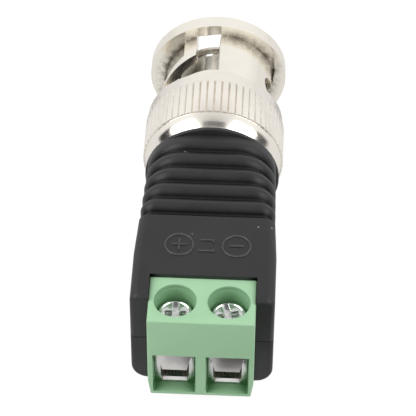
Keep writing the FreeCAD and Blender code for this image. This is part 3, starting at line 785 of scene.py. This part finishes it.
def clamp_cage(side):
    """One folded cage with its tapped hole and its toothed floor."""
    x = poles[side]
    w, floor_w = cage_half_w, cage_floor_half_w
    cage = slide_prism("clamp_cage_" + side + "_loop", [
        (x - w + bend_in, cage_top), (x + w - bend_in, cage_top), (x + w - bend_step, cage_top - bend_step),
        (x + w, cage_top - bend_in), (x + w, cage_side_low), (x + floor_w, cage_low),
        (x - floor_w, cage_low), (x - w, cage_side_low), (x - w, cage_top - bend_in),
        (x - w + bend_step, cage_top - bend_step),
    ], "Y", cage_front_y, cage_rear_y)
    w = cage_half_w - cage_wall
    hollow = slide_prism("hollow", [
        (x - w, cage_roof), (x + w, cage_roof), (x + w, cage_side_low + 0.15),
        (x + floor_w + 0.05, cage_floor), (x - floor_w - 0.05, cage_floor), (x - w, cage_side_low + 0.15),
    ], "Y", cage_front_y - 1, cage_rear_y + 1)
    carve(cage, hollow)
    ease_edges(cage, 0.06)
    carve(cage, upright_cutter(x, screw_hole_r, cage_roof - 0.5, cage_top + 0.5))
    floor_past = cage_floor + past
    for tooth in range(-teeth_each_side, teeth_each_side + 1):
        groove_x = x + tooth_pitch * tooth
        carve(cage, slide_prism("tooth", [
            (groove_x - tooth_half_w, floor_past), (groove_x, cage_floor - tooth_depth),
            (groove_x + tooth_half_w, floor_past),
        ], "Y", cage_front_y + tooth_set_back, cage_rear_y + past))
    carve(cage, slide_prism("sheared_edge", [
        (cage_front_y - past, cage_floor - sheared), (cage_front_y + sheared, floor_past),
        (cage_front_y - past, floor_past),
    ], "X", x - cage_floor_half_w, x + cage_floor_half_w))
    smooth(cage)
    cage.data.materials.append(cage_zinc)
    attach(cage, "cage_" + side)
    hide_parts("clamp_cage_" + side)


# Clamp screws: zinc-plated steel, cheese head with a slot and a short cross
# recess. The cut thread, which runs in the cage's tapped top, is drawn here as
# plain rings.
screw_r, head_r, head_low, head_top = 1.25, 1.7, 2.1, 3.7
screw_foot, plain_end = -1.58, 0.3
thread_pitch, thread_depth = 0.45, 0.2
slot_half_w, slot_floor, cross_half = 0.34, 2.95, 1.0
saw_r = 3.2
screw_turns = {"left": 0, "right": 17}
# The zinc carries painted shade in the slot and under the head, partly in specks.
screw_zinc = finish(
    "screw_zinc", (0.84, 0.86, 0.84), (0.34, 0.37, 0.34), 1.0, (0.08, 0.24), (2200, 0.5), (3000, 0.05),
    (0.25, (0.22, 0.24, 0.21), 0.4, 1.0),
)


def saw_cutter(x):
    """The round saw that cuts a screw's slot, so that the slot's floor is hollow."""
    bpy.ops.object.select_all(action="DESELECT")
    bpy.ops.mesh.primitive_cylinder_add(
        vertices=120, radius=saw_r * mm, depth=2 * slot_half_w * mm, rotation=(0, math.pi / 2, 0),
        location=Vector((x, well_y, slot_floor + saw_r)) * mm,
    )
    return bpy.context.object


def turn_upright(name, x, y, profile, steps):
    """A piece turned about the upright line at x and y, from (radius, height) corners in mm."""
    piece = draw_profile(name, [(x + r, y, z) for r, z in profile])
    bpy.ops.mesh.select_all(action="SELECT")
    bpy.ops.mesh.spin(
        steps=steps, angle=2 * math.pi, center=Vector((x, y, 0)) * mm, axis=(0, 0, 1),
    )
    weld(piece)
    return piece


def clamp_screw(side, degrees):
    """One screw, turned, then slotted and crossed."""
    x = poles[side]
    profile = [
        (0, head_top - 0.08), (head_r - 0.36, head_top - 0.08), (head_r - 0.26, head_top),
        (head_r - 0.20, head_top), (head_r - 0.07, head_top - 0.05), (head_r, head_top - 0.18),
        (head_r, head_low), (screw_r, head_low),
    ]
    root_r = screw_r - thread_depth
    z = head_low - plain_end
    while z - thread_pitch > screw_foot + plain_end:
        profile += [(screw_r, z), (root_r, z - thread_pitch * 0.4), (root_r, z - thread_pitch * 0.5)]
        z -= thread_pitch
    profile += [
        (screw_r, z), (screw_r, screw_foot + plain_end), (screw_r - plain_end, screw_foot), (0, screw_foot),
    ]
    screw = turn_upright("clamp_screw_" + side + "_steel", x, well_y, profile, 72)
    low = (x - cross_half, well_y - slot_half_w, slot_floor)
    high = (x + cross_half, well_y + slot_half_w, head_top + 0.5)
    for cutter in (saw_cutter(x), block_cutter(low, high)):
        pivot = Matrix.Translation(Vector((x, well_y, 0)) * mm)
        spin = Matrix.Rotation(math.radians(degrees), 4, "Z")
        cutter.matrix_world = pivot @ spin @ pivot.inverted() @ cutter.matrix_world
        carve(screw, cutter)
    ease_edges(screw, 0.045)
    smooth(screw)
    screw.data.materials.append(screw_zinc)
    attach(screw, "screw_" + side)
    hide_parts("clamp_screw_" + side)


for side, degrees in screw_turns.items():
    contact_bar(side)
    clamp_cage(side)
    clamp_screw(side, degrees)


# Terminal housing: pale green plastic, moulded in one piece with a stepped
# well over each screw and a window with a sloped sill for each wire.
block_half_w, block_front_y, block_rear_y = 5.08, -39.75, -32.15
block_top, block_low = 5.5, -5.15
block_foot_z, block_foot_in = -3.25, 0.25
rim_r, well_r, shoulder_r = 2.0, 1.93, 1.62
rim_z, well_floor, chamber_roof = 5.0, 2.08, 1.38
window_half_w, window_top, window_low, window_rear_y = 2.05, 0.6, -4.75, -39.32
chamber_half_w, chamber_foot_half_w = 1.95, 1.25
chamber_side_low, chamber_low = -3.78, -4.63
chamber_front_y, chamber_rear_y = -38.57, -35.1
throat_front_y, throat_rear_y, throat_low = -39.34, -38.5, -2.4
sill_outlines = [
    (block_front_y - 0.1, 2.1, 1.99, -4.78, -4.64, window_top),
    (block_front_y, window_half_w, 1.95, window_low, -4.63, window_top),
    (-38.56, 1.95, 1.85, -4.63, -4.53, -2.0),
]
# The green carries painted shade, a deeper green, down the wells, in the windows and chambers, even, with no
# specks.
block_green = finish(
    "block_green", (0.44, 0.73, 0.45), (0.40, 0.68, 0.41), 0.0, (0.34, 0.48), (180, 0.5), (2500, 0.01),
    (3.0, (0.08, 0.22, 0.08), 1.0, 2.4),
)

block = slide_prism("terminal_block", [
    (-block_half_w, block_top), (block_half_w, block_top), (block_half_w, block_foot_z),
    (block_half_w - block_foot_in, block_low), (-block_half_w + block_foot_in, block_low),
    (-block_half_w, block_foot_z),
], "Y", block_front_y, block_rear_y)
ease_edges(block, 0.12, 3)


def bridged(name, loops):
    """A closed piece through outlines with the same number of corners, in mm."""
    piece = draw_profile(name, loops[0] + loops[0][:1])
    for loop in loops[1:]:
        bpy.ops.mesh.select_all(action="DESELECT")
        bpy.ops.object.mode_set(mode="OBJECT")
        other = draw_profile("loop", loop + loop[:1])
        bpy.ops.object.mode_set(mode="OBJECT")
        pick(piece, other)
        bpy.ops.object.join()
        bpy.ops.object.mode_set(mode="EDIT")
    bpy.ops.mesh.select_all(action="SELECT")
    bpy.ops.mesh.remove_doubles(threshold=0.001 * mm)
    bpy.ops.mesh.bridge_edge_loops()
    bpy.ops.mesh.select_all(action="SELECT")
    bpy.ops.mesh.fill_holes(sides=0)
    weld(piece)
    return piece


def sill_loop(x, y, half_w, foot_half_w, foot_z, side_z, top_z):
    """One outline of a window's sloped sill."""
    return [
        (x - half_w, y, top_z), (x + half_w, y, top_z), (x + half_w, y, side_z),
        (x + foot_half_w, y, foot_z), (x - foot_half_w, y, foot_z), (x - half_w, y, side_z),
    ]


for x in poles.values():
    carve(block, turn_upright("well", x, well_y, [
        (0, block_top + 0.5), (rim_r + 0.6, block_top + 0.5), (rim_r + 0.1, block_top),
        (rim_r + 0.03, block_top - 0.03), (rim_r, block_top - 0.1), (rim_r, rim_z + 0.06),
        (well_r, rim_z - 0.06), (well_r - 0.02, well_floor + 0.1), (well_r - 0.1, well_floor),
        (shoulder_r, well_floor), (shoulder_r, chamber_roof - 0.4), (0, chamber_roof - 0.4),
    ], 96))
    w, foot_w = chamber_half_w, chamber_foot_half_w
    chamber = [
        (x - w, chamber_roof), (x + w, chamber_roof), (x + w, chamber_side_low), (x + foot_w, chamber_low),
        (x - foot_w, chamber_low), (x - w, chamber_side_low),
    ]
    carve(block, slide_prism("chamber", chamber, "Y", chamber_front_y, chamber_rear_y))
    carve(block, block_cutter((x - w, throat_front_y, throat_low), (x + w, throat_rear_y, chamber_roof)))
    carve(block, block_cutter(
        (x - window_half_w, block_front_y - 1, window_low + 0.3),
        (x + window_half_w, window_rear_y, window_top),
    ))
    carve(block, bridged("sill", [sill_loop(x, *outline) for outline in sill_outlines]))
    carve(block, block_cutter(
        (x - tail_half_w, chamber_rear_y - 0.2, bar_low), (x + tail_half_w, block_rear_y + 1, bar_top),
    ))
smooth(block, 30)
block.data.materials.append(block_green)
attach(block, "housing")
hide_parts("terminal_housing")


# Leads and solder joints inside the moulding, as the frame gives them.
lead_copper = finish("lead_copper", (0.72, 0.40, 0.26), (0.55, 0.28, 0.18), 1.0, (0.22, 0.38), (900, 0.3))
solder_grey = finish("solder_grey", (0.62, 0.62, 0.62), (0.44, 0.44, 0.45), 1.0, (0.30, 0.48), (800, 0.4))
dress("signal_lead", lead_copper)
dress("ground_lead", lead_copper)
for node in ("cup_solder", "shelf_solder", "tail_solder_left", "tail_solder_right"):
    dress(node, solder_grey)


# Moulded body: black satin plastic over the plug's stem and the terminal, with
# a thin disc, five grooves round a neck that turns from round to square, and
# an open pocket at its rear.
disc_r, disc_front_y, disc_rear_y = 6.85, -14.9, -15.3
neck_half_w, waist_half_w, box_half_w = 6.55, 6.66, 6.87
mould_half_h = 6.0
groove_first, groove_pitch, groove_count = 17.1, 2.17, 5
neck_end = groove_first + (groove_count - 0.5) * groove_pitch
box_full, mould_end = 31.0, 37.2
rib_profile = [
    (0.07, 0.50), (0.14, 0.47), (0.22, 0.40), (0.33, 0.31), (0.46, 0.22), (0.60, 0.14), (0.75, 0.075),
    (0.91, 0.025),
]
last_ramp = [
    (0.10, 0.50), (0.18, 0.47), (0.25, 0.40), (0.45, 0.22), (0.66, 0.045), (0.70, 0.015), (0.75, 0.0),
]
neck_corner_r, top_corner_r, low_corner_r = 4.7, 0.9, 1.7
corner_steps = 10
part_line_z = 0.2
part_line = [(0.06, 0), (0, 0.035), (-0.06, 0)]
past_end_y = -38.2
pocket_gap, pocket_open_y = 0.03, -34.2
cavity_half_w, cavity_front_y, cavity_rear_y = 4.4, -18, -33
cavity_low, cavity_top = -2.4, 1.9
mould_bore_r, mould_bore_rear_y = 4.0, -18.0
first_rib_y = -16.0


def mould_section(distance):
    """Half width and the two corner radii at a distance from the front face."""
    if distance < neck_end:
        share = (distance + disc_rear_y) / (neck_end + disc_rear_y)
        half_w = neck_half_w + share * (waist_half_w - neck_half_w)
    else:
        share = min(1, (distance - neck_end) / (box_full - neck_end))
        half_w = waist_half_w + share * (box_half_w - waist_half_w)
        share = 1
    top_r = neck_corner_r + share * (top_corner_r - neck_corner_r)
    low_r = neck_corner_r + share * (low_corner_r - neck_corner_r)
    return half_w, top_r, low_r


def mould_loop(distance, inset):
    """The outline of the moulding in one plane, with rounded corners and a fine parting line."""
    half_w, top_r, low_r = mould_section(distance)
    points = []
    corners = [(1, 1, 0, top_r), (-1, 1, 90, top_r), (-1, -1, 180, low_r), (1, -1, 270, low_r)]
    edge_x = half_w - inset
    for side, up, start, r in corners:
        r = max(r - inset, 0.2)
        if start == 0:
            points += [(edge_x - deep, -distance, part_line_z - off) for off, deep in part_line]
        for step in range(corner_steps + 1):
            a = math.radians(start + 90 * step / corner_steps)
            x = side * (half_w - inset - r) + r * math.cos(a)
            z = up * (mould_half_h - inset - r) + r * math.sin(a)
            points.append((x, -distance, z))
        if start == 90:
            points += [(deep - edge_x, -distance, part_line_z + off) for off, deep in part_line]
    return points


stations = [(-disc_rear_y - 0.2, 0.0)]
for index in range(groove_count):
    centre = groove_first + index * groove_pitch
    stations += [(centre - off, inset) for off, inset in reversed(rib_profile)]
    if index < groove_count - 1:
        stations += [(centre + off, inset) for off, inset in rib_profile]
        stations.append((centre + groove_pitch / 2, 0.0))
stations += [(centre + off, inset) for off, inset in last_ramp]
stations += [(centre + 0.9, 0.0), (box_full, 0.0), (mould_end - 0.45, 0.0), (mould_end - 0.28, 0.035)]
stations += [(mould_end - 0.13, 0.12), (mould_end - 0.035, 0.25), (mould_end, 0.42)]
moulding = bridged("ribbed_moulding", [mould_loop(distance, inset) for distance, inset in stations])
disc = turn_on_lathe("disc", [
    (3.0, disc_front_y), (disc_r - 0.1, disc_front_y), (disc_r - 0.03, disc_front_y - 0.03),
    (disc_r, disc_front_y - 0.1), (disc_r, disc_rear_y + 0.1), (disc_r - 0.03, disc_rear_y + 0.03),
    (disc_r - 0.1, disc_rear_y), (3.0, disc_rear_y),
], 128)
combine(moulding, "UNION", disc)
pocket_half_w = block_half_w + pocket_gap
carve(
    moulding,
    block_cutter(
        (-pocket_half_w, past_end_y, block_low - pocket_gap),
        (pocket_half_w, block_rear_y + pocket_gap, block_top + pocket_gap),
    ),
    block_cutter((-pocket_half_w, past_end_y, 0), (pocket_half_w, pocket_open_y, 7)),
    block_cutter(
        (-cavity_half_w, cavity_rear_y, cavity_low), (cavity_half_w, cavity_front_y, cavity_top),
    ),
    block_cutter((-8, past_end_y, part_line_z - 0.04), (8, -mould_end + 0.03, part_line_z + 0.04)),
    turn_on_lathe("bore", [
        (0, -14), (mould_bore_r, -14), (mould_bore_r, mould_bore_rear_y), (0, mould_bore_rear_y),
    ], 96),
)
smooth(moulding, 32)


def dust_group():
    """Puts rare pale specks of dust on a colour."""
    group, given, result = shared_group("dust_specks", ("Colour",), ("Colour",))
    place = group.nodes.new("ShaderNodeTexCoord")
    cells = group.nodes.new("ShaderNodeTexVoronoi")
    cells.inputs["Scale"].default_value = 700.0
    group.links.new(place.outputs["Object"], cells.inputs["Vector"])
    small = maths(group, "LESS_THAN", cells.outputs["Distance"], 0.075)
    rare = maths(group, "GREATER_THAN", cells.outputs["Color"], 0.55)
    speck = maths(group, "MULTIPLY", small, rare)
    group.links.new(blended(group, speck, given["Colour"], (0.30, 0.30, 0.29, 1)), result["Colour"])
    return group


# The black carries near-black painted shade in the grooves between the ribs and in the pocket, even, with no
# specks.
mould_black = finish(
    "mould_black", (0.012, 0.012, 0.013), (0.021, 0.021, 0.022), 0.0, (0.40, 0.54), (220, 0.6), (1800, 0.02),
    (1.2, (0.002, 0.002, 0.002), 1.0, 3.6),
)
recolour(mould_black, dust_group())
# Painted light: the disc and the front of the first rib take a lighter copy of the black, free of painted
# corner shade, to lighten them where the nut shades them.
disc_lit_black = finish(
    "disc_lit_black", (0.024, 0.024, 0.025), (0.034, 0.034, 0.035), 0.0, (0.40, 0.54), (220, 0.6), (1800, 0.02),
)
moulding.data.materials.append(mould_black)
moulding.data.materials.append(disc_lit_black)
for face in moulding.data.polygons:
    if face.center.y > first_rib_y * mm:
        face.material_index = 1
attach(moulding, "housing")
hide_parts("moulded_body")


# Polarity marks: raised in the mould on the flat top, a circled plus over the
# signal pole, a circled minus over the ground pole, and between them two short
# bars, each with a small tick.
mark_top, mark_foot = 6.10, 5.95
mark_line, mark_ease = 0.20, 0.05
ring_r, sign_half = 1.35, 0.72
plus_x, minus_x, mark_y = -2.52, 3.0, -30.3
front_bar_y, rear_bar_y = -29.65, -31.05


def raised_bar(x0, x1, y0, y1):
    """A low bar with sloped sides on the flat top."""
    low, high = Vector((x0, y0, mark_foot)) * mm, Vector((x1, y1, mark_top)) * mm
    bpy.ops.object.select_all(action="DESELECT")
    bpy.ops.mesh.primitive_cube_add(size=1, location=(low + high) / 2, scale=high - low)
    bpy.ops.object.transform_apply(location=True, rotation=True, scale=True)
    bar = bpy.context.object
    ease_edges(bar, mark_ease)
    return bar


def raised_ring(x):
    """A low ring with a rounded crest on the flat top."""
    outer, inner = ring_r + mark_line / 2, ring_r - mark_line / 2
    return turn_upright("ring", x, mark_y, [
        (outer, mark_foot), (outer, mark_top - mark_ease), (ring_r + mark_ease, mark_top),
        (ring_r - mark_ease, mark_top), (inner, mark_top - mark_ease), (inner, mark_foot),
        (outer, mark_foot),
    ], 72)


half = mark_line / 2
marks = [
    raised_ring(plus_x),
    raised_ring(minus_x),
    raised_bar(plus_x - sign_half, plus_x + sign_half, mark_y - half, mark_y + half),
    raised_bar(plus_x - half, plus_x + half, mark_y - sign_half, mark_y + sign_half),
    raised_bar(minus_x - sign_half, minus_x + sign_half, mark_y - half, mark_y + half),
    raised_bar(-0.50, 0.85, front_bar_y - half, front_bar_y + half),
    raised_bar(-0.67, 0.91, rear_bar_y - half, rear_bar_y + half),
    raised_bar(0.67, 0.86, -30.0, -29.5),
    raised_bar(0.73, 0.92, -31.2, -30.8),
]
pick(*marks)
bpy.ops.object.join()
polarity = bpy.context.object
polarity.name = polarity.data.name = "polarity_marks"
bpy.ops.object.transform_apply(location=True, rotation=True, scale=True)
smooth(polarity)
mark_black = finish(
    "mark_black", (0.05, 0.05, 0.051), (0.09, 0.088, 0.085), 0.0, (0.30, 0.46), (500, 0.6), (1800, 0.02),
)
polarity.data.materials.append(mark_black)
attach(polarity, "housing")
